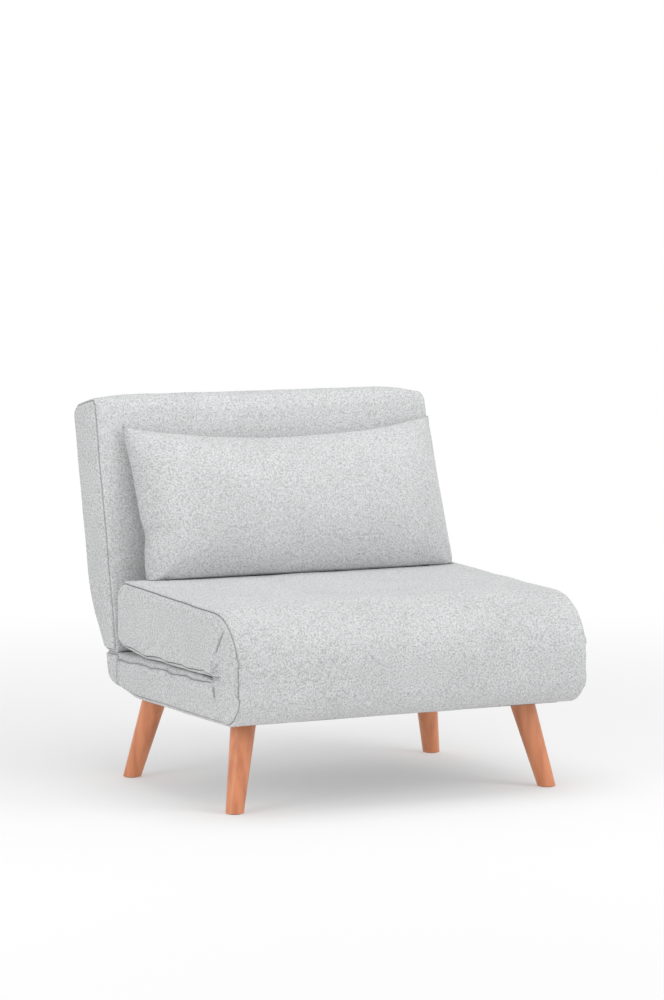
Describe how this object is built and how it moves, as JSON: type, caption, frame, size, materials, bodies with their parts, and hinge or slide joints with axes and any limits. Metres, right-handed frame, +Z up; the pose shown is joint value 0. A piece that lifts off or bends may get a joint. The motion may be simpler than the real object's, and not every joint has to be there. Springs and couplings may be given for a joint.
{
  "type": "convertible chair bed",
  "caption": "Armless upholstered chair bed with a fold-over seat, ratchet reclining back, bent tube support legs, splayed turned wooden legs and a loose lumbar pillow.",
  "frame": {"origin": "centre of the bounding box on the floor, the pads' lower faces at Z = 0", "axes": "X across the seat to the sitter's left, which is the viewer's right from the front; +Y from the seat's front to the back; +Z up"},
  "size_m": [0.75, 0.7706, 0.7594],
  "materials": {
    "cover_fabric": "woven melange",
    "foam": "open-cell foam",
    "frame_steel": "satin powder coat",
    "zinc_steel": "zinc plated",
    "leg_wood": "stained satin lacquer",
    "slat_wood": "birch plywood",
    "cap_plastic": "moulded",
    "dust_cloth": "non-woven",
    "rubber": "matte"
  },
  "bodies": {
    "base": {"base_frame": "frame_steel", "base_slats": "slat_wood", "base_slat_caps": "cap_plastic", "base_foam": "foam", "base_cover": "cover_fabric", "dust_cover": "dust_cloth", "leg_plates": "zinc_steel", "hanger_bolts": "zinc_steel", "leg_front_left": "leg_wood", "leg_front_right": "leg_wood", "leg_rear_left": "leg_wood", "leg_rear_right": "leg_wood", "leg_pads": "rubber", "base_hinge_arms": "zinc_steel", "front_hinge_pins": "zinc_steel", "base_ratchet_arms": "zinc_steel", "ratchet_pins": "zinc_steel", "front_wrap": "cover_fabric", "rear_gusset": "cover_fabric"},
    "foot": {"foot_frame": "frame_steel", "foot_slats": "slat_wood", "foot_slat_caps": "cap_plastic", "foot_bed_foam": "foam", "foot_seat_foam": "foam", "foot_cover": "cover_fabric", "foot_hinge_arms": "zinc_steel", "foot_leg_lugs": "zinc_steel"},
    "foot_leg": {"foot_leg_tube": "frame_steel", "foot_leg_axle": "zinc_steel", "foot_leg_sleeves": "rubber"},
    "back": {"back_frame": "frame_steel", "back_slats": "slat_wood", "back_slat_caps": "cap_plastic", "back_front_foam": "foam", "back_rear_foam": "foam", "back_cover": "cover_fabric", "back_ratchet_arms": "zinc_steel", "ratchet_caps": "cap_plastic", "head_leg_lugs": "zinc_steel"},
    "head_leg": {"head_leg_tube": "frame_steel", "head_leg_axle": "zinc_steel", "head_leg_sleeves": "rubber"},
    "pillow": {"pillow_cover": "cover_fabric", "pillow_filling": "foam"}
  },
  "joints": [
    {"name": "foot_fold", "type": "hinge", "parent": "base", "child": "foot", "pos_m": [0, -0.375, 0.257], "axis": [1, 0, 0], "range_deg": [0, 180], "deforming": ["front_wrap", "pillow_cover", "pillow_filling"]},
    {"name": "foot_leg_swing", "type": "hinge", "parent": "foot", "child": "foot_leg", "pos_m": [0, 0.135, 0.386], "axis": [1, 0, 0], "range_deg": [0, 180]},
    {"name": "back_recline", "type": "hinge", "parent": "base", "child": "back", "pos_m": [0, 0.177, 0.253], "axis": [-1, 0, 0], "range_deg": [0, 78.3], "deforming": ["rear_gusset"]},
    {"name": "head_leg_swing", "type": "hinge", "parent": "back", "child": "head_leg", "pos_m": [0, 0.37457, 0.61036], "axis": [1, 0, 0], "range_deg": [0, 90]},
    {"name": "pillow_lift", "type": "slide", "parent": "back", "child": "pillow", "axis": [0, -0.9792, 0.2028], "range_m": [0, 0.3]}
  ],
  "couplings": [
    {"joint": "foot_leg_swing", "follows": "foot_fold", "ratio": 1}
  ]
}
